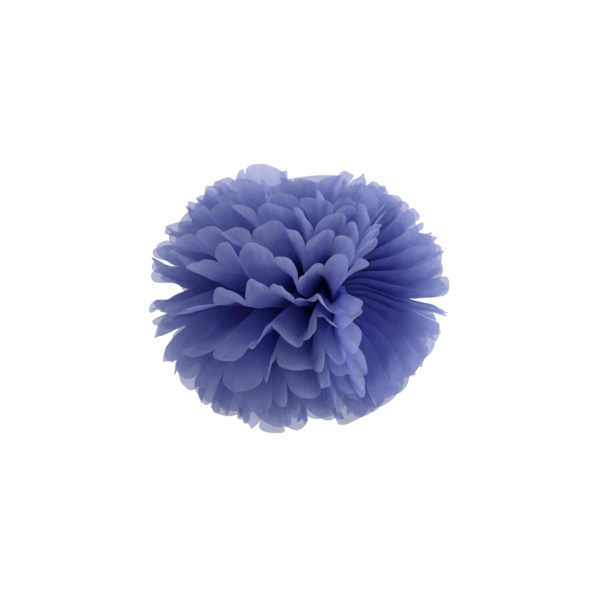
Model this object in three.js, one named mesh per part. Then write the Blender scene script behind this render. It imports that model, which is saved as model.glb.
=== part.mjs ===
// Tissue paper pom pom. Twelve sheets are folded together into a strip of pleats, cut round at both
// ends, tied in the middle and pulled apart into a ball. Millimetres, Z up, the tie at the origin.

import * as THREE from "three";

// Paper
const SHEETS = 12;
const SHEET_LENGTH = 350;
const STRIP_LENGTH = 250;
const PANELS = 13;
const THICKNESS = 0.3;

// Tie
const TIE_HALF_LENGTH = 2.5;
const TIE_HALF_WIDTH = 6;
const TIE_HALF_HEIGHT = 5;
const WIRE_DIAMETER = 0.9;
const WIRE_GAP = 0.3;
const WIRE_CORNER = 1;
const TAIL_START = 2.2;
const TAIL_LENGTH = 13;
const TAIL_TURNS = 2;

// How the halves of the ball are pulled round into a fan, and opened at the seam between them
const STRIP_TURN = 48;
const FAN_REACH = 0.965;
const BUNCH = { left: 0.16, right: 0 };
const FRONT_HOLLOW = { left: 0.24, right: 0.3 };
const BACK_HOLLOW = 0.04;
const HOLLOW_MIDDLE = -8;
const HOLLOW_HEIGHT = 40;
const HOLLOW_FROM = 10;
const HOLLOW_TO = 95;

// How the sheets are pulled up and down; an edge share is where the halves start to hold back
const STACK_REACH = 0.97;
const EDGE_START = 0.86;
const EDGE_END = 0.975;
const RAISED = 0.04;
const SPREAD = 9;
const SPREAD_EVEN = 0.7;
const SLOW_GROWTH = 1.5;
const FAST_GROWTH = 2.2;
const FRONT_LIFT = 6;
const FRONT_LIFT_WIDTH = 75;
const MOUTH_ABOVE = 9;
const MOUTH_BELOW = 1;
const MOUTH_EDGE = 8;
const MOUTH_MIDDLE = 6;
const MOUTH_SIDES = 0.15;
const MOUTH_INNER = 30;
const MOUTH_OUTER = 100;
const OPEN_TOP = 14;
const OPEN_BOTTOM = 8;
const OPEN_POWER = 1.6;
const DROOP = 3;
const PRESS_ABOVE = 0.83;
const PRESS_BELOW = 0.9;

// Waves through the whole ball, and how far it leans over to the left
const LEAN = 5;
const LEAN_FROM = 30;
const WAVE_HEIGHT = 8;
const WAVE_LENGTH = 62;
const WAVE_FROM = 15;
const WAVE_TO = 110;
const WAVE_SHIFTS = [
  [7.3, 1.7, 3.1],
  [2.9, 8.6, 5.4],
  [4.2, 3.3, 9.8],
];

// The zigzag of the pleats
const FULLNESS = 1.4;
const FULL_STEP = 0.205;
const FULL_SHARE = 0.4;
const MAX_SWING = 0.35;
const STEEPEST = 1.4;
const GRIP_LENGTH = 36;
const EDGE_CALM = 0.6;
const EDGE_CREASES = 2.5;
const FLAT_AMOUNT = 0.65;
const FLAT_LEVEL = -0.04;
const FLAT_HEIGHT = 0.16;
const FLAT_SHARE = 0.35;
const FLAT_END = 0.75;
const FLAT_FROM = 35;
const FLAT_TO = 80;

// Unevenness: of the fan and the stack in steps of each, of the panels in layers, of the cut in mm;
// pleats wider than this share of the strip's half length crowd each other and are laid more evenly
const ROOMY_PLEAT = 0.2155;
const CROWDING = 2;
const FAN_SHARED = 0.28;
const FAN_OWN = 0.18;
const FREE_EDGE = 0.6;
const STACK_PAIR = 0.2;
const STACK_OWN = 0.12;
const CURL = 0.3;
const CURL_FROM = 72;
const BOW = 0.16;
const BOW_AWAY = 0.08;
const BOW_FROM = 35;
const BOW_TO = 100;
const TIP_POWER = 2.2;
const TIP_VARIETY = 0.25;
const TRIM = 1.5;

// Sizes that follow
const REACH = STRIP_LENGTH / 2;
const PLEAT = SHEET_LENGTH / PANELS;
const PETAL = PLEAT / 2;
const LAYER = 2 / SHEETS;
const TOP_LAYER = 1 - LAYER / 2;
const LOOSENESS = Math.min(1, (ROOMY_PLEAT * REACH) / PLEAT) ** CROWDING;
const SIDES = { left: -1, right: 1 };
const HALF_TURN = Math.PI / 2;
const TINY = 1e-6;
const SMALL_STEP = 1e-3;

// Weights that turn whole numbers into fixed chance numbers
const KEY_WEIGHTS = [12.9898, 78.233, 37.719, 9.151];
const KEY_START = 0.137;
const KEY_SCALE = 43758.5453;

// Rows along a half strip, as shares of its length up to the notches between the petals
const NARROW_ROWS = [0, 0.12, 0.36];
const WIDE_ROWS = [0.66, 1];
const RIM = [0.07, 0.26, 0.5, 0.74, 0.93];
const MOST_OF_LAYER = 0.5;
const WIRE_SIDES = 6;
const WIRE_STEPS = 110;
const TAIL_STEPS = 8;
const CORNER_SHARE = 0.3;
const WIRE_BULGE = 0.2;

const radians = (degrees) => (degrees * Math.PI) / 180;
const clamp = (x, low, high) => Math.min(Math.max(x, low), high);
const mix = (a, b, share) => a + (b - a) * share;

function smooth(from, to, x) {
  const t = clamp((x - from) / (to - from), 0, 1);
  return t * t * (3 - 2 * t);
}

// A fixed number between -1 and 1 for up to four whole-number keys
function chance(...keys) {
  const x = keys.reduce((sum, key, n) => sum + key * KEY_WEIGHTS[n], KEY_START);
  const y = Math.sin(x) * KEY_SCALE;
  return 2 * (y - Math.floor(y)) - 1;
}

// The same, changing slowly with the first key
function slowChance(x, ...keys) {
  const cell = Math.floor(x);
  return mix(chance(cell, ...keys), chance(cell + 1, ...keys), smooth(0, 1, x - cell));
}

// A smooth field of chance numbers in space
function field(x, y, z) {
  const cells = [Math.floor(x), Math.floor(y), Math.floor(z)];
  const shares = [x - cells[0], y - cells[1], z - cells[2]].map((f) => smooth(0, 1, f));
  let total = 0;
  for (let corner = 0; corner < 8; corner += 1) {
    const step = [corner >> 2, (corner >> 1) & 1, corner & 1];
    const weight = step.reduce((w, on, n) => w * (on ? shares[n] : 1 - shares[n]), 1);
    total += weight * chance(cells[0] + step[0], cells[1] + step[1], cells[2] + step[2]);
  }
  return total;
}

// Direction on a half ball for a place in the fan (u, front to back) and in the stack (v, low to high)
function direction(u, v) {
  const across = u * Math.sqrt(1 - (v * v) / 2);
  const up = v * Math.sqrt(1 - (u * u) / 2);
  const r = Math.hypot(across, up);
  const angle = HALF_TURN * r;
  const k = r < TINY ? HALF_TURN : Math.sin(angle) / r;
  return new THREE.Vector3(Math.cos(angle), k * across, k * up);
}

// The halves of the ball stand apart in front and a little at the back, near the middle height
function opened(d, side, distance) {
  const flat = Math.hypot(d.x, d.y);
  const turn = Math.atan2(d.y, d.x);
  const rise = Math.atan2(d.z, flat);
  const hollow = (turn < 0 ? FRONT_HOLLOW[side] : BACK_HOLLOW) * smooth(HOLLOW_FROM, HOLLOW_TO, distance);
  const near = Math.exp(-(((rise - radians(HOLLOW_MIDDLE)) / radians(HOLLOW_HEIGHT)) ** 2));
  const left = turn * (1 - hollow * near * smooth(0, HALF_TURN, Math.abs(turn)));
  return new THREE.Vector3(flat * Math.cos(left), flat * Math.sin(left), d.z);
}

// From the strip's own axes to the ball's, for one half of the strip
function turned(d, side) {
  const c = Math.cos(radians(STRIP_TURN));
  const s = Math.sin(radians(STRIP_TURN));
  const x = d.x * SIDES[side];
  return new THREE.Vector3(c * x - s * d.y, s * x + c * d.y, d.z);
}

// The sheets rise from the tie, open into a mouth in front and droop towards their tips
function bent(d, distance) {
  const turn = Math.atan2(d.y, d.x);
  const aside = Math.abs(turn + HALF_TURN);
  const t = distance / REACH;
  const slow = t ** SLOW_GROWTH;
  let rise = Math.atan2(d.z, Math.hypot(d.x, d.y));
  rise += radians(SPREAD) * Math.sin(2 * rise) * (slow - SPREAD_EVEN);
  const front = smooth(radians(FRONT_LIFT_WIDTH), 0, aside);
  rise += radians(FRONT_LIFT) * front * Math.cos(rise) ** 4 * slow;
  const above = rise - radians(MOUTH_MIDDLE);
  const ahead = mix(MOUTH_SIDES, 1, smooth(radians(MOUTH_OUTER), radians(MOUTH_INNER), aside));
  const mouth = radians(above > 0 ? MOUTH_ABOVE : MOUTH_BELOW) * Math.tanh(above / radians(MOUTH_EDGE));
  rise += mouth * ahead * Math.cos(rise) ** 2 * t ** FAST_GROWTH;
  rise -= radians(OPEN_TOP) * clamp(rise / HALF_TURN, 0, 1) ** OPEN_POWER * slow;
  rise += radians(OPEN_BOTTOM) * clamp(-rise / HALF_TURN, 0, 1) ** OPEN_POWER * slow;
  rise -= radians(DROOP) * Math.cos(rise) * t ** 2;
  return new THREE.Vector3(
    Math.cos(rise) * Math.cos(turn),
    Math.cos(rise) * Math.sin(turn),
    Math.sin(rise),
  );
}

// Slow waves through the whole ball, which leans over to the left
function waved(p) {
  const far = p.length();
  const q = p.clone().divideScalar(WAVE_LENGTH);
  const wave = WAVE_SHIFTS.map(([x, y, z]) => WAVE_HEIGHT * field(q.x + x, q.y + y, q.z + z));
  const moved = p.clone().addScaledVector(new THREE.Vector3(...wave), smooth(WAVE_FROM, WAVE_TO, far));
  moved.x -= LEAN * smooth(LEAN_FROM, REACH, far);
  return moved;
}

// A layer's height in the tie, and how far up it is pulled
const height = (layer) => LAYER * (layer + 0.5) - 1;

function level(layer) {
  const v = height(layer) / TOP_LAYER;
  return v + RAISED * (1 - v * v);
}

// Keeps the two halves of the ball from passing through each other
function kept(v) {
  const over = Math.abs(v) - EDGE_START;
  const room = EDGE_END - EDGE_START;
  return over > 0 ? Math.sign(v) * (EDGE_START + room * Math.tanh(over / room)) : v;
}

// A point of the ball, at a distance from the tie along the paper
function place(u, v, distance, side, layer) {
  const d = bent(turned(opened(direction(u, kept(v)), side, distance), side), distance);
  const root = new THREE.Vector3(TIE_HALF_LENGTH, TIE_HALF_WIDTH * u, TIE_HALF_HEIGHT * height(layer));
  const p = waved(turned(root, side).addScaledVector(d, distance));
  p.z *= p.z > 0 ? PRESS_ABOVE : PRESS_BELOW;
  return p;
}

// Place in the fan of one crease; the two free edges are the first and the last crease
function fanPlace(crease, side, layer, distance) {
  const share = crease / PANELS;
  const even = share - (BUNCH[side] * Math.sin(2 * Math.PI * share)) / (2 * Math.PI);
  const t = distance / REACH;
  const sign = SIDES[side];
  const weight = crease > 0 && crease < PANELS ? 1 : FREE_EDGE;
  const shared = FAN_SHARED * slowChance(layer / 3, crease, sign, 2);
  const own = FAN_OWN * chance(crease, sign, layer, 4);
  const uneven = LOOSENESS * weight * (shared + own) * smooth(0.3, 1, t);
  return FAN_REACH * (2 * even - 1 + (2 * uneven) / PANELS);
}

// How much less the pleats swing at a crease: at the free edges, and in the sheet across the front
function calm(crease, layer, distance) {
  const v = level(layer);
  const along = Math.max(-v * Math.sign(PANELS - 2 * crease), 0);
  const edge = smooth(EDGE_CREASES, 0, Math.min(crease, PANELS - crease));
  const middle = Math.exp(-(((v - FLAT_LEVEL) / FLAT_HEIGHT) ** 2));
  const ahead = smooth(FLAT_END, FLAT_SHARE, crease / PANELS) * smooth(FLAT_FROM, FLAT_TO, distance);
  return (1 - EDGE_CALM * edge * along) * (1 - FLAT_AMOUNT * middle * ahead);
}

// Half the up and down swing of the pleats at one crease, so that each panel keeps its width
function halfSwing(crease, side, layer, distance) {
  const u = fanPlace(crease, side, layer, distance);
  const v = level(layer) * (STACK_REACH - pleatRoom(distance));
  const here = place(u, v, distance, side, layer);
  const higher = place(u, v + SMALL_STEP, distance, side, layer);
  const lower = place(u, v - SMALL_STEP, distance, side, layer);
  const lift = higher.sub(lower).divideScalar(2 * SMALL_STEP);
  const liftSquared = lift.lengthSq() + TINY;
  const sign = crease % 2 ? -1 : 1;
  let swing = 0;
  let count = 0;
  for (const other of [crease - 1, crease + 1]) {
    if (other >= 0 && other <= PANELS) {
      const gap = place(fanPlace(other, side, layer, distance), v, distance, side, layer).sub(here);
      const lean = Math.min(sign * gap.dot(lift), 0);
      const short = Math.max(PLEAT ** 2 - gap.lengthSq(), 0);
      const need = (lean + Math.sqrt(lean ** 2 + liftSquared * short)) / (2 * liftSquared);
      swing += clamp(need, 0, (STEEPEST * gap.length()) / Math.sqrt(liftSquared));
      count += 1;
    }
  }
  const gripped = smooth(0, GRIP_LENGTH, distance);
  return Math.min(swing / count, MAX_SWING) * calm(crease, layer, distance) * gripped;
}

// The share of the stack's height that the pleats take up at a distance from the tie
function pleatRoom(distance) {
  const radius = distance + TIE_HALF_WIDTH;
  const deep = Math.sqrt(Math.max((FULLNESS * PLEAT) ** 2 - (FULL_STEP * radius) ** 2, 0));
  return Math.min((FULL_SHARE * deep) / radius, MAX_SWING) * smooth(0, GRIP_LENGTH, distance);
}

// Place in the stack of one crease
function stackPlace(crease, side, layer, distance) {
  const t = distance / REACH;
  const sign = crease % 2 ? -1 : 1;
  const pair = STACK_PAIR * chance(Math.floor(crease / 2), SIDES[side], layer, 5);
  const own = STACK_OWN * chance(crease, SIDES[side], layer, 7);
  const uneven = LOOSENESS * LAYER * (pair + own) * smooth(0.25, 1, t);
  const middle = level(layer) * (STACK_REACH - pleatRoom(distance));
  return middle + sign * halfSwing(crease, side, layer, distance) + uneven;
}

// Length of the paper from the tie to its cut end, at a share of a panel's width
function cutLength(share, panel, side, layer) {
  const g = Math.abs(2 * share - 1);
  const trim = chance(layer, SIDES[side], panel, 31);
  const power = TIP_POWER + TIP_VARIETY * trim;
  const round = Math.max(1 - g ** power, 0) ** (1 / power);
  return REACH - PETAL * (1 - round) - (TRIM / 2) * (1 - g * g) * (trim + 1);
}

// A point of one half sheet: panel, share of its width, distance from the tie, and a shift in layers
function paperPoint(panel, share, distance, side, layer, shift) {
  const u = mix(
    fanPlace(panel, side, layer, distance),
    fanPlace(panel + 1, side, layer, distance),
    share,
  );
  let v = mix(
    stackPlace(panel, side, layer, distance),
    stackPlace(panel + 1, side, layer, distance),
    share,
  );
  const sign = SIDES[side];
  const g = 2 * share - 1;
  const away = layer >= SHEETS / 2 ? BOW_AWAY : -BOW_AWAY;
  const curl = CURL * chance(layer, sign, panel, 13) * smooth(CURL_FROM, REACH, distance) ** SLOW_GROWTH;
  const bow = (BOW * chance(layer, sign, panel, 11) + away) * smooth(BOW_FROM, BOW_TO, distance);
  v += LOOSENESS * LAYER * (curl * (1 - g ** 4) + bow * (1 - g ** 2));
  v += (shift * LAYER * (STACK_REACH - pleatRoom(distance))) / TOP_LAYER;
  return place(u, v, distance, side, layer + shift);
}

// One half sheet of corner points and triangles, added to a sheet's mesh
function addHalf(mesh, side, layer) {
  const notch = REACH - PETAL;
  const point = (x, share, distance) => {
    const key = [side, x + share, distance].join(" ");
    if (!mesh.ids.has(key)) {
      const panel = x === PANELS ? PANELS - 1 : x;
      const inside = x === PANELS ? 1 : share;
      const at = (shift) => paperPoint(panel, inside, distance, side, layer, shift);
      mesh.ids.set(key, mesh.middle.length);
      mesh.middle.push(at(0));
      mesh.spacing.push(at(0.5).sub(at(-0.5)));
    }
    return mesh.ids.get(key);
  };
  const add = (...corners) => {
    for (let n = 1; n + 1 < corners.length; n += 1) {
      const triangle = [corners[0], corners[n], corners[n + 1]];
      mesh.triangles.push(side === "left" ? triangle.reverse() : triangle);
    }
  };
  for (let panel = 0; panel < PANELS; panel += 1) {
    const edge = (share) => [point(panel, 0, share * notch), point(panel + 1, 0, share * notch)];
    const narrow = NARROW_ROWS.map((share) => edge(share));
    const wide = WIDE_ROWS.map((share) => {
      const [a, b] = edge(share);
      return [a, point(panel, 0.5, share * notch), b];
    });
    for (let row = 0; row + 1 < narrow.length; row += 1) {
      add(narrow[row][0], narrow[row + 1][0], narrow[row + 1][1], narrow[row][1]);
    }
    const last = narrow[narrow.length - 1];
    add(last[0], wide[0][0], wide[0][1], last[1]);
    add(last[1], wide[0][1], wide[0][2]);
    for (let row = 0; row + 1 < wide.length; row += 1) {
      add(wide[row][0], wide[row + 1][0], wide[row + 1][1], wide[row][1]);
      add(wide[row][1], wide[row + 1][1], wide[row + 1][2], wide[row][2]);
    }
    const [start, hub, end] = wide[wide.length - 1];
    const rim = RIM.map((share) => point(panel, share, cutLength(share, panel, side, layer)));
    add(hub, start, ...rim, end);
  }
  return Array.from({ length: PANELS + 1 }, (_, crease) => point(crease, 0, 0));
}

// A sheet of paper with its thickness, closed all round
function makeSheet(layer) {
  const mesh = { ids: new Map(), middle: [], spacing: [], triangles: [] };
  const left = addHalf(mesh, "left", layer);
  const right = addHalf(mesh, "right", layer);
  for (let panel = 0; panel < PANELS; panel += 1) {
    mesh.triangles.push([left[panel], right[panel], right[panel + 1]]);
    mesh.triangles.push([left[panel], right[panel + 1], left[panel + 1]]);
  }

  // How squarely the sheet stands to the stack at each corner point
  const facing = mesh.middle.map(() => []);
  for (const triangle of mesh.triangles) {
    const [a, b, c] = triangle.map((id) => mesh.middle[id]);
    const normal = b.clone().sub(a).cross(c.clone().sub(a)).normalize();
    triangle.forEach((id) => facing[id].push(Math.abs(normal.dot(mesh.spacing[id]))));
  }
  const half = mesh.spacing.map((spacing, id) => {
    const mean = facing[id].reduce((sum, x) => sum + x, 0) / facing[id].length;
    return spacing.clone().multiplyScalar(Math.min(THICKNESS / mean, MOST_OF_LAYER) / 2);
  });

  const count = mesh.middle.length;
  const points = [
    ...mesh.middle.map((p, id) => p.clone().add(half[id])),
    ...mesh.middle.map((p, id) => p.clone().sub(half[id])),
  ];
  const faces = mesh.triangles.flatMap(([a, b, c]) => [a, b, c, c + count, b + count, a + count]);
  const edges = new Set();
  for (const [a, b, c] of mesh.triangles) {
    [[a, b], [b, c], [c, a]].forEach(([from, to]) => edges.add(from + " " + to));
  }
  for (const name of edges) {
    const [from, to] = name.split(" ").map(Number);
    if (!edges.has(to + " " + from)) {
      faces.push(to, from, from + count, to, from + count, to + count);
    }
  }
  const geometry = new THREE.BufferGeometry();
  const flat = points.flatMap((p) => p.toArray());
  geometry.setAttribute("position", new THREE.Float32BufferAttribute(flat, 3));
  geometry.setIndex(faces);
  geometry.computeVertexNormals();
  return geometry;
}

// The wire goes once around the tie and its ends are twisted together behind it
function makeWire() {
  const away = WIRE_GAP + WIRE_DIAMETER / 2;
  const y = TIE_HALF_WIDTH * FAN_REACH + away;
  const z = TIE_HALF_HEIGHT * TOP_LAYER * PRESS_BELOW + THICKNESS / 2 + away;
  const straight = [y - WIRE_CORNER, z - WIRE_CORNER];
  const rounded = [y - CORNER_SHARE * WIRE_CORNER, z - CORNER_SHARE * WIRE_CORNER];
  const steps = TAIL_TURNS * TAIL_STEPS;
  const tail = Array.from({ length: steps + 1 }, (_, n) => {
    const angle = (2 * Math.PI * TAIL_TURNS * n) / steps;
    return [away * Math.sin(angle), y + TAIL_START + (TAIL_LENGTH * n) / steps, away * Math.cos(angle)];
  });
  const above = [
    [0, y + WIRE_BULGE, 2 * away], [0, y, z / 2], [0, y, straight[1]], [0, ...rounded],
    [0, straight[0], z], [0, 0, z], [0, -straight[0], z], [0, -rounded[0], rounded[1]], [0, -y, straight[1]],
  ];
  const loop = [...above, [0, -y, 0], ...above.slice().reverse().map(([px, py, pz]) => [px, py, -pz])];
  const ends = [tail.slice().reverse(), tail.map((p) => [-p[0], p[1], -p[2]])];
  const path = [...ends[0], ...loop, ...ends[1]].map((p) => turned(new THREE.Vector3(...p), "right"));
  const corners = Array.from({ length: WIRE_SIDES }, (_, n) => {
    const angle = (2 * Math.PI * n) / WIRE_SIDES;
    return new THREE.Vector2(Math.cos(angle), Math.sin(angle)).multiplyScalar(WIRE_DIAMETER / 2);
  });
  const curve = new THREE.CatmullRomCurve3(path, false, "centripetal");
  return new THREE.ExtrudeGeometry(new THREE.Shape(corners), {
    steps: WIRE_STEPS,
    extrudePath: curve,
    bevelEnabled: false,
  });
}

const group = new THREE.Group();

for (let layer = 0; layer < SHEETS; layer += 1) {
  const paper = new THREE.MeshStandardMaterial({ color: 0x535998, roughness: 0.9, metalness: 0 });
  const sheet = new THREE.Mesh(makeSheet(layer), paper);
  sheet.name = "sheet_" + String(layer + 1).padStart(2, "0");
  group.add(sheet);
}

const steel = new THREE.MeshStandardMaterial({ color: 0xb4b6b8, roughness: 0.4, metalness: 1 });
const wire = new THREE.Mesh(makeWire(), steel);
wire.name = "tie_wire";
group.add(wire);

export default group;
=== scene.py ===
import math

import bpy
import numpy as np
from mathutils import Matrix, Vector


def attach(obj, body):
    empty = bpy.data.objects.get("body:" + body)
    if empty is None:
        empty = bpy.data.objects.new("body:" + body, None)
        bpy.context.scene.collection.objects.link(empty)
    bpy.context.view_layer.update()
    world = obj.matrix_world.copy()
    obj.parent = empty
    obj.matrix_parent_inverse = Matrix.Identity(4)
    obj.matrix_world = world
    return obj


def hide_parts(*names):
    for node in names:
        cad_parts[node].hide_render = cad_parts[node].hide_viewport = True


# Tissue paper pom pom. The same folded and fanned sheets as in the frame, as fine single layers of
# paper with crumples. The paper's sizes are in millimetres and its angles in degrees until they
# become meshes. The camera, the lamps, the floor and the materials are in metres.

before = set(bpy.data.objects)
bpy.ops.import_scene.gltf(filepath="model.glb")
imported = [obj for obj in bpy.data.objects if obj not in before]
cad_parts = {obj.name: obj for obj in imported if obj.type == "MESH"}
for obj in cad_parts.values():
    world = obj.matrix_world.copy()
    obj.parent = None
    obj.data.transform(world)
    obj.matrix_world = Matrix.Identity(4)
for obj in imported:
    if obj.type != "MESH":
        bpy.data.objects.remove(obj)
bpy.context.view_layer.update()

# View: how far the camera looks down, how far off it is, how wide the picture is where the ball
# is, and where the ball is in the picture
VIEW_RISE = 2.0
VIEW_DISTANCE = 1.2
FRAME_WIDTH = 0.502
SHIFT_X, SHIFT_Y = -2 / 600, -9 / 600

# Paper: a stack of sheets, folded into a strip of pleats
SHEETS = 12
SHEET_LENGTH = 350.0
STRIP_LENGTH = 250.0
PANELS = 13

# The inside of the tie, from its middle along the strip, across it and up the stack
TIE_HALF_LENGTH = 2.5
TIE_HALF_WIDTH = 6.0
TIE_HALF_HEIGHT = 5.0

# How the halves of the ball are pulled round into a fan, and opened at the seam between them
STRIP_TURN = 48.0
FAN_REACH = 0.98
BUNCH = {-1: 0.16, 1: 0.0}
FRONT_HOLLOW = {-1: 0.24, 1: 0.3}
BACK_HOLLOW = 0.04
HOLLOW_MIDDLE = -8.0
HOLLOW_HEIGHT = 40.0
HOLLOW_FROM, HOLLOW_TO = 10.0, 95.0

# How far the sheets are pulled up and down, as shares of the way to straight up and down. From
# EDGE_START on the two halves hold back from each other.
STACK_REACH = 0.97
EDGE_START = 0.86
EDGE_END = 0.99
RAISED = 0.04

# How the sheets bend on their way out: they spread, lift in front, open into a mouth, leave the
# top and the bottom a little open and droop. The whole ball is then pressed flatter.
SPREAD = 9.0
SPREAD_EVEN = 0.7
SLOW_GROWTH = 1.5
FAST_GROWTH = 2.2
FRONT_LIFT = 6.0
FRONT_LIFT_WIDTH = 75.0
MOUTH_ABOVE = 9.0
MOUTH_BELOW = 1.0
MOUTH_EDGE = 8.0
MOUTH_MIDDLE = 6.0
MOUTH_SIDES = 0.15
MOUTH_INNER, MOUTH_OUTER = 30.0, 100.0
OPEN_TOP = 14.0
OPEN_BOTTOM = 8.0
OPEN_POWER = 1.6
DROOP = 3.0
PRESS_ABOVE = 0.83
PRESS_BELOW = 0.9

# Waves through the whole ball, and how far it leans over to the left
LEAN = 5.0
LEAN_FROM = 30.0
WAVE_HEIGHT = 8.0
WAVE_LENGTH = 62.0
WAVE_FROM, WAVE_TO = 15.0, 110.0
WAVE_SHIFTS = [(7.3, 1.7, 3.1), (2.9, 8.6, 5.4), (4.2, 3.3, 9.8)]

# How the seam between the halves closes and winds
SEAM_CLOSE = 6.0
SEAM_GRIP = 5.0
SEAM_FAR = 45.0
SEAM_BEND = 6.0
SEAM_LENGTH = 9.5
SEAM_RISE = 15.0
SEAM_WIDTH = 30.0
SEAM_FROM, SEAM_TO = 20.0, 60.0

# The zigzag of the pleats: the room it is given, its limits, and where it is calmer
FULLNESS = 1.4
FULL_STEP = 0.205
FULL_SHARE = 0.4
MAX_SWING = 0.35
STEEPEST = 1.7
GRIP_LENGTH = 36.0
EDGE_CALM = 0.6
EDGE_CREASES = 2.5
FLAT_AMOUNT = 0.65
FLAT_LEVEL = -0.04
FLAT_HEIGHT = 0.16
FLAT_SHARE, FLAT_END = 0.35, 0.75
FLAT_FROM, FLAT_TO = 35.0, 80.0

# Unevenness of the fan in pleats and of the stack in layers, from a share of the reach onwards
FAN_SHARED = 0.28
FAN_SHARED_LAYERS = 3
FAN_OWN = 0.18
FAN_LOOSE_FROM = 0.3
FREE_EDGE = 0.6
STACK_PAIR = 0.2
STACK_OWN = 0.12
STACK_LOOSE_FROM = 0.25

# How each petal curls, bows and twists, in layers
CURL = 0.3
CURL_FROM = 72.0
BOW = 0.16
BOW_AWAY = 0.08
BOW_FROM, BOW_TO = 35.0, 100.0
TWIST = 0.36
OUTER_TWIST = 0.35
OUTER_FROM = 0.6
TWIST_FROM = 60.0

# How the strip's ends are cut round, and how deep and how often in a panel the cut is ragged
TIP_POWER = 2.2
TIP_VARIETY = 0.25
TRIM = 1.5
RAGGED = 0.7
RAGGED_PLACES = 5.3

# Gathers that run out from the tie through the whole stack
GATHERS = 45.0
GATHER_INNER, GATHER_OUTER = 0.3, 0.8
GATHER_SLOPE = 1.0
GATHER_FROM, GATHER_FULL = 6.0, 22.0
GATHER_LESS, GATHER_TO = 55.0, 98.0

# Dents, ridges and wrinkles of the paper: their height, and their length across and along the
# strip. They are small next to the tie, in the creases and at the outer sheets' free edges.
DENTS, DENT_ACROSS, DENT_ALONG = 1.5, 17.0, 26.0
RIDGES, RIDGE_ACROSS, RIDGE_ALONG = 1.9, 9.0, 34.0
WRINKLES, WRINKLE_ACROSS, WRINKLE_ALONG = 0.8, 3.4, 16.0
CREST_MIDDLE = 0.6
CRUMPLE_FROM, CRUMPLE_FULL = 20.0, 105.0
CRUMPLE_GROWTH = 1.6
CRUMPLE_AT_TIE = 0.02
CRUMPLE_AT_CREASE = 0.2
CRUMPLE_CALM = 0.75
CALM_CREASES = 0.5

# Chance: how its numbers are mixed, and the keys that keep one use of it apart from another
CHANCE_START, CHANCE_SCALE = 0.137, 43758.5453
CHANCE_WEIGHTS = (12.9898, 78.233, 37.719, 9.151)
FAN_SHARED_KEY, FAN_OWN_KEY = 2, 4
STACK_PAIR_KEY, STACK_OWN_KEY = 5, 7
BOW_KEY, CURL_KEY, TWIST_KEY, TRIM_KEY = 11, 13, 17, 31
RAGGED_KEY, RAGGED_LAYER_KEY, RAGGED_SIDE_KEY = 0.5, 11.0, 3.0
CRUMPLE_KEY, CRUMPLE_LAYER_KEY, CRUMPLE_SIDE_KEY = 40.5, 17.0, 5.0
WRINKLE_KEY, DENT_KEY = 3.3, 7.7

# Sizes that follow
REACH = STRIP_LENGTH / 2
PLEAT = SHEET_LENGTH / PANELS
PETAL = PLEAT / 2
LAYER = 2 / SHEETS
TOP_LAYER = 1 - LAYER / 2
TURN_COS, TURN_SIN = math.cos(math.radians(STRIP_TURN)), math.sin(math.radians(STRIP_TURN))

# Fineness of the paper's mesh: columns in a panel, pulled together at its creases, and rows,
# pulled together a little at its cut end
ACROSS = 18
CREASE_PULL = 0.5
ALONG = 60
TIP_PULL = 0.92

# Fineness of the sums behind it: places along a crease, steps to measure slopes with, and samples
# for the paper's area
TABLE_PLACES = 126
TABLE = np.linspace(0, REACH, TABLE_PLACES)
LEVEL_STEP = 1e-3
LENGTH_STEP = 0.5
PANEL_STEP = 0.02
LEAST_LIFT = 1e-6
LEAST_NORMAL = 1e-9


def smooth(low, high, x):
    t = np.clip((x - low) / (high - low), 0, 1)
    return t * t * (3 - 2 * t)


def chance(*keys):
    """A fixed number between -1 and 1 for up to four whole-number keys."""
    x = CHANCE_START
    for key, weight in zip(keys, CHANCE_WEIGHTS):
        x = x + key * weight
    y = np.sin(x) * CHANCE_SCALE
    return 2 * (y - np.floor(y)) - 1


def slow_chance(x, *keys):
    """Like chance, but it changes slowly from one whole x to the next."""
    cell = np.floor(x)
    t = smooth(0, 1, x - cell)
    return chance(cell, *keys) * (1 - t) + chance(cell + 1, *keys) * t


def field(x, y, z):
    """A smooth field of chance numbers in space."""
    cells, shares = [], []
    for a in (x, y, z):
        a = np.asarray(a, float)
        cells.append(np.floor(a))
        shares.append(smooth(0, 1, a - np.floor(a)))
    total = 0.0
    for corner in range(8):
        step = (corner >> 2, (corner >> 1) & 1, corner & 1)
        weight = 1.0
        for on, share in zip(step, shares):
            weight = weight * (share if on else 1 - share)
        total = total + weight * chance(*(c + s for c, s in zip(cells, step)))
    return total


def direction(u, v):
    """The way from the tie for a place in the fan and a place in the stack, from -1 to 1 each."""
    across = u * np.sqrt(1 - v * v / 2)
    up = v * np.sqrt(1 - u * u / 2)
    r = np.hypot(across, up)
    k = np.pi / 2 * np.sinc(r / 2)
    return np.stack([np.cos(np.pi / 2 * r), k * across, k * up], axis=-1)


def opened(d, side, distance):
    """The halves of the ball stand apart in front and a little at the back."""
    flat = np.hypot(d[..., 0], d[..., 1])
    turn = np.arctan2(d[..., 1], d[..., 0])
    rise = np.arctan2(d[..., 2], flat)
    hollow = np.where(turn < 0, FRONT_HOLLOW[side], BACK_HOLLOW)
    hollow = hollow * smooth(HOLLOW_FROM, HOLLOW_TO, distance)
    near = np.exp(-(((rise - np.radians(HOLLOW_MIDDLE)) / np.radians(HOLLOW_HEIGHT)) ** 2))
    turn = turn * (1 - hollow * near * smooth(0, np.pi / 2, np.abs(turn)))
    return np.stack([flat * np.cos(turn), flat * np.sin(turn), d[..., 2]], axis=-1)


def turned(d, side):
    """From a half of the strip to the ball: the strip lies aslant, and its halves mirror."""
    x = d[..., 0] * side
    y = d[..., 1]
    return np.stack([TURN_COS * x - TURN_SIN * y, TURN_SIN * x + TURN_COS * y, d[..., 2]], axis=-1)


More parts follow.
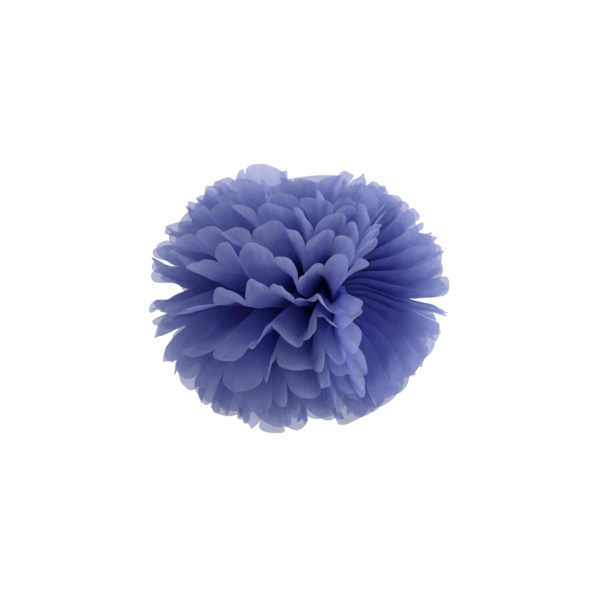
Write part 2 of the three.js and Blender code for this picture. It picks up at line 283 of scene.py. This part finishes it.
def bent(d, distance):
    """The sheets spread from the tie, open into a mouth in front and droop towards their tips."""
    turn = np.arctan2(d[..., 1], d[..., 0])
    aside = np.abs(turn + np.pi / 2)
    t = distance / REACH
    slow = t ** SLOW_GROWTH
    rise = np.arctan2(d[..., 2], np.hypot(d[..., 0], d[..., 1]))
    rise = rise + np.radians(SPREAD) * np.sin(2 * rise) * (slow - SPREAD_EVEN)
    front = smooth(np.radians(FRONT_LIFT_WIDTH), 0, aside)
    rise = rise + np.radians(FRONT_LIFT) * front * np.cos(rise) ** 4 * slow
    above = rise - np.radians(MOUTH_MIDDLE)
    near = smooth(np.radians(MOUTH_OUTER), np.radians(MOUTH_INNER), aside)
    ahead = MOUTH_SIDES + (1 - MOUTH_SIDES) * near
    mouth = np.radians(np.where(above > 0, MOUTH_ABOVE, MOUTH_BELOW))
    mouth = mouth * np.tanh(above / np.radians(MOUTH_EDGE))
    rise = rise + mouth * ahead * np.cos(rise) ** 2 * t ** FAST_GROWTH
    high = np.clip(rise / (np.pi / 2), 0, 1) ** OPEN_POWER
    rise = rise - np.radians(OPEN_TOP) * high * slow
    low = np.clip(-rise / (np.pi / 2), 0, 1) ** OPEN_POWER
    rise = rise + np.radians(OPEN_BOTTOM) * low * slow
    rise = rise - np.radians(DROOP) * np.cos(rise) * t ** 2
    flat = np.cos(rise)
    return np.stack([flat * np.cos(turn), flat * np.sin(turn), np.sin(rise)], axis=-1)


def meshed(p):
    """Except in front, the seam between the halves is close and winds."""
    along = TURN_COS * p[..., 0] + TURN_SIN * p[..., 1]
    across = TURN_COS * p[..., 1] - TURN_SIN * p[..., 0]
    high = smooth(SEAM_FROM, SEAM_TO, np.abs(p[..., 2]))
    where = np.maximum(high, smooth(SEAM_FROM, SEAM_TO, across))
    near = np.exp(-((along / SEAM_WIDTH) ** 2)) * where
    shift = SEAM_BEND * near * np.sin(across / SEAM_LENGTH + p[..., 2] / SEAM_RISE)
    closed = SEAM_CLOSE * where * along ** 2 / (along ** 2 + SEAM_GRIP ** 2)
    shift = shift - closed * np.sign(along) * np.exp(-((along / SEAM_FAR) ** 2))
    return p + np.stack([TURN_COS * shift, TURN_SIN * shift, 0 * shift], axis=-1)


def waved(p):
    """Slow waves through the whole ball, which leans over to the left."""
    far = np.linalg.norm(p, axis=-1)
    x, y, z = p[..., 0] / WAVE_LENGTH, p[..., 1] / WAVE_LENGTH, p[..., 2] / WAVE_LENGTH
    wave = np.stack([WAVE_HEIGHT * field(x + a, y + b, z + c) for a, b, c in WAVE_SHIFTS], axis=-1)
    moved = p + wave * smooth(WAVE_FROM, WAVE_TO, far)[..., None]
    moved[..., 0] -= LEAN * smooth(LEAN_FROM, REACH, far)
    return meshed(moved)


def height(layer):
    """Height of a sheet in the flat stack, between -1 and 1."""
    return LAYER * (layer + 0.5) - 1


def level(layer):
    """Place of a sheet in the opened stack, from -1 for the lowest to 1 for the highest."""
    v = height(layer) / TOP_LAYER
    return v + RAISED * (1 - v * v)


def kept(v):
    """Keeps the two halves of the ball from passing through each other."""
    over = np.abs(v) - EDGE_START
    room = EDGE_END - EDGE_START
    return np.where(over > 0, np.sign(v) * (EDGE_START + room * np.tanh(over / room)), v)


def place(u, v, distance, side, layer):
    """The point of the ball for a place in the fan, a place in the stack and a distance."""
    d = bent(turned(opened(direction(u, kept(v)), side, distance), side), distance)
    in_tie = (TIE_HALF_LENGTH + 0 * u, TIE_HALF_WIDTH * u, TIE_HALF_HEIGHT * height(layer) + 0 * u)
    p = waved(turned(np.stack(in_tie, axis=-1), side) + distance[..., None] * d)
    p[..., 2] *= np.where(p[..., 2] > 0, PRESS_ABOVE, PRESS_BELOW)
    return p


def fan_place(crease, side, layer, distance):
    """Place of a crease in the fan, from -1 in front to 1 at the back."""
    share = crease / PANELS
    even = share - BUNCH[side] * math.sin(2 * math.pi * share) / (2 * math.pi)
    weight = 1 if 0 < crease < PANELS else FREE_EDGE
    shared = FAN_SHARED * slow_chance(layer / FAN_SHARED_LAYERS, crease, side, FAN_SHARED_KEY)
    own = FAN_OWN * chance(crease, side, layer, FAN_OWN_KEY)
    uneven = weight * (shared + own) * smooth(FAN_LOOSE_FROM, 1, distance / REACH)
    return FAN_REACH * (2 * even - 1 + 2 * uneven / PANELS)


def calm(crease, layer, distance):
    """How much less the pleats swing at the free edges, and in the sheet across the front."""
    v = level(layer)
    along = max(-v * np.sign(PANELS - 2 * crease), 0)
    edge = smooth(EDGE_CREASES, 0, min(crease, PANELS - crease))
    middle = math.exp(-(((v - FLAT_LEVEL) / FLAT_HEIGHT) ** 2))
    ahead = smooth(FLAT_END, FLAT_SHARE, crease / PANELS) * smooth(FLAT_FROM, FLAT_TO, distance)
    return (1 - EDGE_CALM * edge * along) * (1 - FLAT_AMOUNT * middle * ahead)


def half_swing(crease, side, layer, distance):
    """Half the up and down swing of the pleats at a crease, so that each panel keeps its width."""
    u = fan_place(crease, side, layer, distance)
    v = level(layer) * (STACK_REACH - pleat_room(distance))
    here = place(u, v, distance, side, layer)
    higher = place(u, v + LEVEL_STEP, distance, side, layer)
    lower = place(u, v - LEVEL_STEP, distance, side, layer)
    lift = (higher - lower) / (2 * LEVEL_STEP)
    lift_squared = (lift ** 2).sum(-1) + LEAST_LIFT
    sign = -1 if crease % 2 else 1
    swing, count = 0, 0
    for other in (crease - 1, crease + 1):
        if 0 <= other <= PANELS:
            beside = fan_place(other, side, layer, distance)
            gap = place(beside, v, distance, side, layer) - here
            lean = np.minimum(sign * (gap * lift).sum(-1), 0)
            short = np.maximum(PLEAT ** 2 - (gap ** 2).sum(-1), 0)
            need = (lean + np.sqrt(lean ** 2 + lift_squared * short)) / (2 * lift_squared)
            most = STEEPEST * np.linalg.norm(gap, axis=-1) / np.sqrt(lift_squared)
            swing = swing + np.clip(need, 0, most)
            count += 1
    gripped = smooth(0, GRIP_LENGTH, distance)
    return np.minimum(swing / count, MAX_SWING) * calm(crease, layer, distance) * gripped


def pleat_room(distance):
    """The share of the stack's height that the pleats take up at a distance from the tie."""
    radius = distance + TIE_HALF_WIDTH
    deep = np.sqrt(np.maximum((FULLNESS * PLEAT) ** 2 - (FULL_STEP * radius) ** 2, 0))
    return np.minimum(FULL_SHARE * deep / radius, MAX_SWING) * smooth(0, GRIP_LENGTH, distance)


def stack_place(crease, side, layer, distance):
    """Place of a crease in the stack, from -1 at the bottom to 1 at the top."""
    sign = -1 if crease % 2 else 1
    pair = STACK_PAIR * chance(crease // 2, side, layer, STACK_PAIR_KEY)
    own = STACK_OWN * chance(crease, side, layer, STACK_OWN_KEY)
    uneven = LAYER * (pair + own) * smooth(STACK_LOOSE_FROM, 1, distance / REACH)
    middle = level(layer) * (STACK_REACH - pleat_room(distance))
    return middle + sign * half_swing(crease, side, layer, distance) + uneven


def cut_length(share, panel, side, layer):
    """Length of the paper from the tie to its cut end, at a share of a panel's width."""
    g = np.abs(2 * share - 1)
    trim = chance(layer, side, panel, TRIM_KEY)
    power = TIP_POWER + TIP_VARIETY * trim
    rounded = np.maximum(1 - g ** power, 0) ** (1 / power)
    return REACH - PETAL * (1 - rounded) - TRIM / 2 * (1 - g * g) * (trim + 1)


def ragged(share, panel, side, layer):
    """How much shorter the paper is where its cut is ragged."""
    sheet = RAGGED_LAYER_KEY * layer + RAGGED_SIDE_KEY * side
    return RAGGED * np.abs(field((panel + share) * RAGGED_PLACES, RAGGED_KEY, sheet))


def gathered(v, distance):
    """Fine folds that run out from the tie, the same for every sheet."""
    fading = 1 - smooth(GATHER_LESS, GATHER_TO, distance)
    held = smooth(GATHER_FROM, GATHER_FULL, distance) * fading
    outer = smooth(GATHER_INNER, GATHER_OUTER, np.abs(v))
    return GATHER_SLOPE / GATHERS * held * outer * np.sin(GATHERS * v)


def columns():
    """The panel and the share of its width for each column of points."""
    even = np.linspace(0, 1, ACROSS + 1)[:-1]
    pulled = (1 - np.cos(np.pi * even)) / 2
    share = (1 - CREASE_PULL) * even + CREASE_PULL * pulled
    panel = np.repeat(np.arange(PANELS), ACROSS)
    return np.append(panel, PANELS - 1), np.append(np.tile(share, PANELS), 1.0)


def crumples(share, panel, across, distance, side, layer):
    """Height of the dents, ridges and wrinkles of the paper."""
    key = CRUMPLE_LAYER_KEY * layer + CRUMPLE_SIDE_KEY * side + CRUMPLE_KEY
    dent = field(across / DENT_ACROSS, distance / DENT_ALONG, key + DENT_KEY)
    ridge = 1 - np.abs(field(across / RIDGE_ACROSS, distance / RIDGE_ALONG, key))
    fine = field(across / WRINKLE_ACROSS, distance / WRINKLE_ALONG, key + WRINKLE_KEY)
    wrinkle = 1 - np.abs(fine)
    raised = DENTS * dent + RIDGES * (ridge - CREST_MIDDLE) + WRINKLES * (wrinkle - CREST_MIDDLE)
    free = smooth(CRUMPLE_FROM, CRUMPLE_FULL, distance) ** CRUMPLE_GROWTH
    room = CRUMPLE_AT_TIE + (1 - CRUMPLE_AT_TIE) * free
    hump = 1 - (2 * share - 1) ** 2
    flatter = CRUMPLE_AT_CREASE + (1 - CRUMPLE_AT_CREASE) * np.sqrt(hump)
    edge = np.minimum(panel + share, PANELS - panel - share)
    calmer = 1 - CRUMPLE_CALM * abs(level(layer)) * smooth(EDGE_CREASES, CALM_CREASES, edge)
    return raised * room * flatter * calmer


def along_creases(share, panel, distance, side, layer):
    """Places in the fan and the stack of half a sheet's points, and their change over a panel."""
    fans = [fan_place(crease, side, layer, TABLE) for crease in range(PANELS + 1)]
    stacks = [stack_place(crease, side, layer, TABLE) for crease in range(PANELS + 1)]
    places, changes = [], []
    for table in (fans, stacks):
        here, change = np.empty_like(distance), np.empty_like(distance)
        for column, (p, s) in enumerate(zip(panel, share)):
            first = np.interp(distance[:, column], TABLE, table[p])
            second = np.interp(distance[:, column], TABLE, table[p + 1])
            here[:, column] = first + (second - first) * s
            change[:, column] = second - first
        places.append(here)
        changes.append(change)
    return places, changes


def petal_bend(share, panel, distance, side, layer):
    """How far the petals curl, bow and twist up or down in the stack."""
    g = 2 * share - 1
    hump = 1 - g ** 2
    curl = CURL * chance(layer, side, panel, CURL_KEY)
    curl = curl * smooth(CURL_FROM, REACH, distance) ** SLOW_GROWTH
    away = BOW_AWAY if layer >= SHEETS / 2 else -BOW_AWAY
    bow = BOW * chance(layer, side, panel, BOW_KEY) + away
    bow = bow * smooth(BOW_FROM, BOW_TO, distance)
    most = TWIST + OUTER_TWIST * smooth(OUTER_FROM, 1, abs(level(layer)))
    twist = most * chance(layer, side, panel, TWIST_KEY)
    twist = twist * smooth(TWIST_FROM, REACH, distance) * g * hump
    return LAYER * (curl * (1 - g ** 4) + bow * hump + twist)


def half_sheet(layer, side):
    """Points of one half of a sheet, rows from the tie outwards, and their flat places."""
    panel, share = columns()
    rows = np.linspace(0, 1, ALONG + 1) ** TIP_PULL
    length = cut_length(share, panel, side, layer) - ragged(share, panel, side, layer)
    distance = rows[:, None] * length[None, :]
    (u, v), (du, dv) = along_creases(share, panel, distance, side, layer)
    v = v + petal_bend(share, panel, distance, side, layer)

    def point(u, v, further=0.0):
        return place(u + gathered(v, distance), v, distance + further, side, layer)

    points = point(u, v)
    outwards = point(u, v, LENGTH_STEP) - points
    beside = point(u + du * PANEL_STEP, v + dv * PANEL_STEP) - points
    normal = np.cross(outwards, beside) * side
    normal /= np.linalg.norm(normal, axis=-1, keepdims=True) + LEAST_NORMAL
    across = (panel + share)[None, :] * PLEAT + 0 * distance
    raised = crumples(share, panel, across, distance, side, layer)
    return points + normal * raised[..., None], across, distance


def paper_mesh(layer):
    """A sheet as one mesh, with its flat shape as its UV map."""
    left, left_across, left_along = half_sheet(layer, -1)
    right, right_across, right_along = half_sheet(layer, 1)
    points = np.concatenate([left[::-1], right])
    across = np.concatenate([left_across[::-1], right_across])
    along = np.concatenate([-left_along[::-1], right_along])
    rows, cols = across.shape
    ids = np.arange(rows * cols).reshape(rows, cols)
    faces = np.stack([ids[:-1, :-1], ids[:-1, 1:], ids[1:, 1:], ids[1:, :-1]], -1).reshape(-1, 4)
    name = "tissue_sheet_%02d" % (layer + 1)
    mesh = bpy.data.meshes.new(name)
    mesh.from_pydata((points.reshape(-1, 3) / 1000).tolist(), [], faces.tolist())
    flat = np.stack([across, along + REACH], -1).reshape(-1, 2) / 1000
    corners = np.empty(len(mesh.loops), int)
    mesh.loops.foreach_get("vertex_index", corners)
    uv = mesh.uv_layers.new(name="flat_paper")
    uv.data.foreach_set("uv", flat[corners].ravel())
    mesh.polygons.foreach_set("use_smooth", [True] * len(mesh.polygons))
    piece = bpy.data.objects.new(name, mesh)
    bpy.context.scene.collection.objects.link(piece)
    return piece


def sharpen_creases(mesh):
    """The folds between the panels stay sharp."""
    cols = PANELS * ACROSS + 1
    sharp = mesh.attributes.new("sharp_edge", "BOOLEAN", "EDGE")
    pairs = np.empty(len(mesh.edges) * 2, int)
    mesh.edges.foreach_get("vertices", pairs)
    pairs = pairs.reshape(-1, 2) % cols
    folded = (pairs[:, 0] == pairs[:, 1]) & (pairs[:, 0] % ACROSS == 0)
    sharp.data.foreach_set("value", folded)


# Materials. Pairs of colours are the darkest and the palest of a mottled surface. The paper is
# seen as it reflects (PAPER), as it glows when lit from behind (GLOW), and as it tints what shows
# through it (TINT), next to the tie (INNER) and at the tips (OUTER). The change from the tie to
# the
# tips is painted light and shade: painted shade makes the paper a darker, deeper blue next to the
# tie, and painted light makes it paler and more see-through (THIN) at the tips.
PAPER_INNER_SHADE = ((0.070, 0.080, 0.400), (0.105, 0.118, 0.480))
PAPER_OUTER_LIT = ((0.200, 0.230, 0.485), (0.300, 0.338, 0.590))
GLOW_INNER_SHADE = ((0.080, 0.090, 0.500), (0.120, 0.135, 0.600))
GLOW_OUTER_LIT = ((0.330, 0.368, 0.660), (0.470, 0.515, 0.780))
TINT_INNER_SHADE = (0.45, 0.48, 0.95)
TINT_OUTER_LIT = (0.86, 0.88, 0.98)
THIN_INNER_SHADE, THIN_OUTER_LIT = 0.10, 0.36
LIT_TIPS_FROM, LIT_TIPS_TO = 0.060, 0.128
GLOW_SHARE = 0.42
FIBRES = {"Scale": 620.0, "Detail": 3.0, "Roughness": 0.6}
FIBRE_STRETCH = (1.0, 0.16, 1.0)
FIBRE_SHARE = 0.6
CLOUDS = {"Scale": 90.0, "Detail": 4.0, "Roughness": 0.65}
MOTTLE_FROM, MOTTLE_TO = 0.55, 1.05
PAPER_BUMP = {"Strength": 0.5, "Distance": 0.0008}
PAPER_SHEEN = {"Roughness": 0.75, "Specular IOR Level": 0.15}

WIRE_GRAIN = {"Scale": 1800.0, "Detail": 4.0}
WIRE_COLOURS = [(0.3, (0.34, 0.35, 0.36)), (0.7, (0.56, 0.57, 0.58))]
WIRE_ROUGH = {"To Min": 0.25, "To Max": 0.5}
WIRE_BUMP = {"Strength": 0.3, "Distance": 0.0002}

FLOOR_GRAIN = {"Scale": 40.0}
FLOOR_COLOUR = (0.82, 0.82, 0.83)
FLOOR_MOTTLE = 0.98


class Nodes:
    """Small helper that empties the nodes of a material or a world, and adds and links others."""

    def __init__(self, owner):
        owner.use_nodes = True
        self.tree = owner.node_tree
        self.tree.nodes.clear()

    def add(self, kind, inputs=None, **values):
        node = self.tree.nodes.new(kind)
        for key, value in values.items():
            setattr(node, key, value)
        for key, value in (inputs or {}).items():
            if isinstance(value, bpy.types.NodeSocket):
                self.tree.links.new(value, node.inputs[key])
            else:
                node.inputs[key].default_value = value
        return node

    def maths(self, operation, *values):
        inputs = dict(enumerate(values))
        return self.add("ShaderNodeMath", inputs, operation=operation).outputs[0]

    def noise(self, settings, at=None):
        inputs = settings if at is None else {"Vector": at, **settings}
        return self.add("ShaderNodeTexNoise", inputs).outputs["Fac"]

    def bump(self, settings, height):
        return self.add("ShaderNodeBump", {"Height": height, **settings}).outputs["Normal"]

    def ranged(self, value, settings, **values):
        inputs = {"Value": value, **settings}
        return self.add("ShaderNodeMapRange", inputs, **values).outputs["Result"]

    def ramp(self, factor, stops):
        node = self.add("ShaderNodeValToRGB", {"Fac": factor})
        for element, (at, colour) in zip(node.color_ramp.elements, stops):
            element.position = at
            element.color = (*colour, 1)
        return node.outputs["Color"]

    def blend(self, factor, first, second):
        """A mix of two colours, which are inputs 6 and 7 of its node; the result is output 2."""
        node = self.add("ShaderNodeMix", {0: factor, 6: first, 7: second}, data_type="RGBA")
        return node.outputs[2]

    def mixed(self, factor, first, second):
        inputs = {0: factor, 1: first.outputs[0], 2: second.outputs[0]}
        return self.add("ShaderNodeMixShader", inputs)

    def seen(self, *rays):
        """1 where one of these kinds of rays looks at the surface, and 0 elsewhere."""
        path = self.add("ShaderNodeLightPath")
        first, *others = (path.outputs[ray] for ray in rays)
        for other in others:
            first = self.maths("MAXIMUM", first, other)
        return first


def tissue_material():
    """Thin blue paper, with painted shade (deeper blue) next to the tie and painted light (paler)
    towards the cut tips.
    """
    material = bpy.data.materials.new("tissue_paper")
    n = Nodes(material)
    flat = n.add("ShaderNodeUVMap", uv_map="flat_paper").outputs["UV"]
    stretched = n.add("ShaderNodeMapping", {"Vector": flat, "Scale": FIBRE_STRETCH}).outputs[0]
    fibres = n.maths("MULTIPLY", n.noise(FIBRES, stretched), FIBRE_SHARE)
    mottle = n.maths("ADD", fibres, n.noise(CLOUDS, flat))
    tone = n.ranged(mottle, {"From Min": MOTTLE_FROM, "From Max": MOTTLE_TO})
    # Painted light and shade: from 0 next to the tie, where the paper is painted darker, to 1 at
    # the cut tips, where it is painted paler and more see-through
    along = n.add("ShaderNodeSeparateXYZ", {"Vector": flat}).outputs["Y"]
    far = n.maths("ABSOLUTE", n.maths("SUBTRACT", along, REACH / 1000))
    ends = {"From Min": LIT_TIPS_FROM, "From Max": LIT_TIPS_TO}
    painted_light_to_tips = n.ranged(far, ends, interpolation_type="SMOOTHSTEP")

    def graded(inner, outer):
        near, away = (n.ramp(tone, [(0, dark), (1, pale)]) for dark, pale in (inner, outer))
        return n.blend(painted_light_to_tips, near, away)

    bump = n.bump(PAPER_BUMP, mottle)
    colours = {"Base Color": graded(PAPER_INNER_SHADE, PAPER_OUTER_LIT), "Normal": bump}
    front = n.add("ShaderNodeBsdfPrincipled", {**colours, **PAPER_SHEEN})
    glow = {"Color": graded(GLOW_INNER_SHADE, GLOW_OUTER_LIT), "Normal": bump}
    through = n.add("ShaderNodeBsdfTranslucent", glow)
    tint = n.ramp(painted_light_to_tips, [(0, TINT_INNER_SHADE), (1, TINT_OUTER_LIT)])
    gaps = n.add("ShaderNodeBsdfTransparent", {"Color": tint})
    thin = n.ranged(painted_light_to_tips, {"To Min": THIN_INNER_SHADE, "To Max": THIN_OUTER_LIT})
    whole = n.mixed(thin, n.mixed(GLOW_SHARE, front, through), gaps)
    n.add("ShaderNodeOutputMaterial", {"Surface": whole.outputs[0]})
    return material


def wire_material():
    """Plain steel wire with a fine grain."""
    material = bpy.data.materials.new("brushed_wire")
    n = Nodes(material)
    grain = n.noise(WIRE_GRAIN, n.add("ShaderNodeTexCoord").outputs["Object"])
    steel = n.add("ShaderNodeBsdfPrincipled", {
        "Base Color": n.ramp(grain, WIRE_COLOURS), "Metallic": 1.0,
        "Roughness": n.ranged(grain, WIRE_ROUGH), "Normal": n.bump(WIRE_BUMP, grain)})
    n.add("ShaderNodeOutputMaterial", {"Surface": steel.outputs[0]})
    return material


def floor_material():
    """A pale floor that looks white to the camera, and throws back no more light for that."""
    material = bpy.data.materials.new("floor_pale")
    n = Nodes(material)
    darker = tuple(c * FLOOR_MOTTLE for c in FLOOR_COLOUR)
    tone = n.ramp(n.noise(FLOOR_GRAIN), [(0, FLOOR_COLOUR), (1, darker)])
    pale = n.add("ShaderNodeBsdfDiffuse", {"Color": tone})
    white = n.add("ShaderNodeEmission", {"Strength": 1.0})
    seen = n.seen("Is Camera Ray", "Is Glossy Ray", "Is Transmission Ray")
    n.add("ShaderNodeOutputMaterial", {"Surface": n.mixed(seen, pale, white).outputs[0]})
    return material


# The camera
rise = math.radians(VIEW_RISE)
camera_data = bpy.data.cameras.new("camera")
camera = bpy.data.objects.new("camera", camera_data)
bpy.context.scene.collection.objects.link(camera)
camera.location = Vector((0, -math.cos(rise), math.sin(rise))) * VIEW_DISTANCE
camera.rotation_euler = (-camera.location).to_track_quat("-Z", "Y").to_euler()
camera_data.lens_unit = "FOV"
camera_data.angle = 2 * math.atan(FRAME_WIDTH / 2 / VIEW_DISTANCE)
camera_data.shift_x = SHIFT_X
camera_data.shift_y = SHIFT_Y
bpy.context.scene.camera = camera

# The sheets of paper
tissue = tissue_material()
for layer in range(SHEETS):
    piece = paper_mesh(layer)
    sharpen_creases(piece.data)
    piece.data.materials.append(tissue)
    node = "sheet_%02d" % (layer + 1)
    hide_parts(node)
    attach(piece, "root")

# The wire keeps its shape from the frame
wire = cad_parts["tie_wire"]
for slot in wire.material_slots:
    slot.link = "OBJECT"
    slot.material = wire_material()

# The floor
FLOOR_DROP = 0.55
FLOOR_HALF = 6.0
corners = [(-1, -1), (1, -1), (1, 1), (-1, 1)]
floor_mesh = bpy.data.meshes.new("floor")
floor_mesh.from_pydata(
    [(FLOOR_HALF * x, FLOOR_HALF * y, -FLOOR_DROP) for x, y in corners], [], [(0, 1, 2, 3)])
floor = bpy.data.objects.new("floor", floor_mesh)
bpy.context.scene.collection.objects.link(floor)
floor_mesh.materials.append(floor_material())

# The light: a world that is white to the camera and dimmer on the paper, and soft square lamps,
# each with its place, its size and its power
WHITE = (1, 1, 1, 1)
WORLD_LIGHT = 0.75
world = bpy.data.worlds.new("studio")
bpy.context.scene.world = world
n = Nodes(world)
lit = n.add("ShaderNodeBackground", {"Color": WHITE, "Strength": WORLD_LIGHT})
white = n.add("ShaderNodeBackground", {"Color": WHITE, "Strength": 1.0})
studio = n.mixed(n.seen("Is Camera Ray", "Is Transmission Ray"), lit, white)
n.add("ShaderNodeOutputWorld", {"Surface": studio.outputs[0]})

LAMPS = [
    ((0.7, -0.6, 1.0), 0.8, 11.3),
    ((-0.9, -0.7, 0.5), 1.0, 4.0),
    ((1.1, 0.05, 0.05), 0.6, 10.0),
]
for number, (where, size, power) in enumerate(LAMPS):
    lamp = bpy.data.lights.new("lamp_%d" % number, "AREA")
    lamp.energy = power
    lamp.size = size
    holder = bpy.data.objects.new("lamp_%d" % number, lamp)
    bpy.context.scene.collection.objects.link(holder)
    holder.location = where
    holder.rotation_euler = (-Vector(where)).to_track_quat("-Z", "Y").to_euler()

bpy.context.scene.view_settings.view_transform = "Standard"
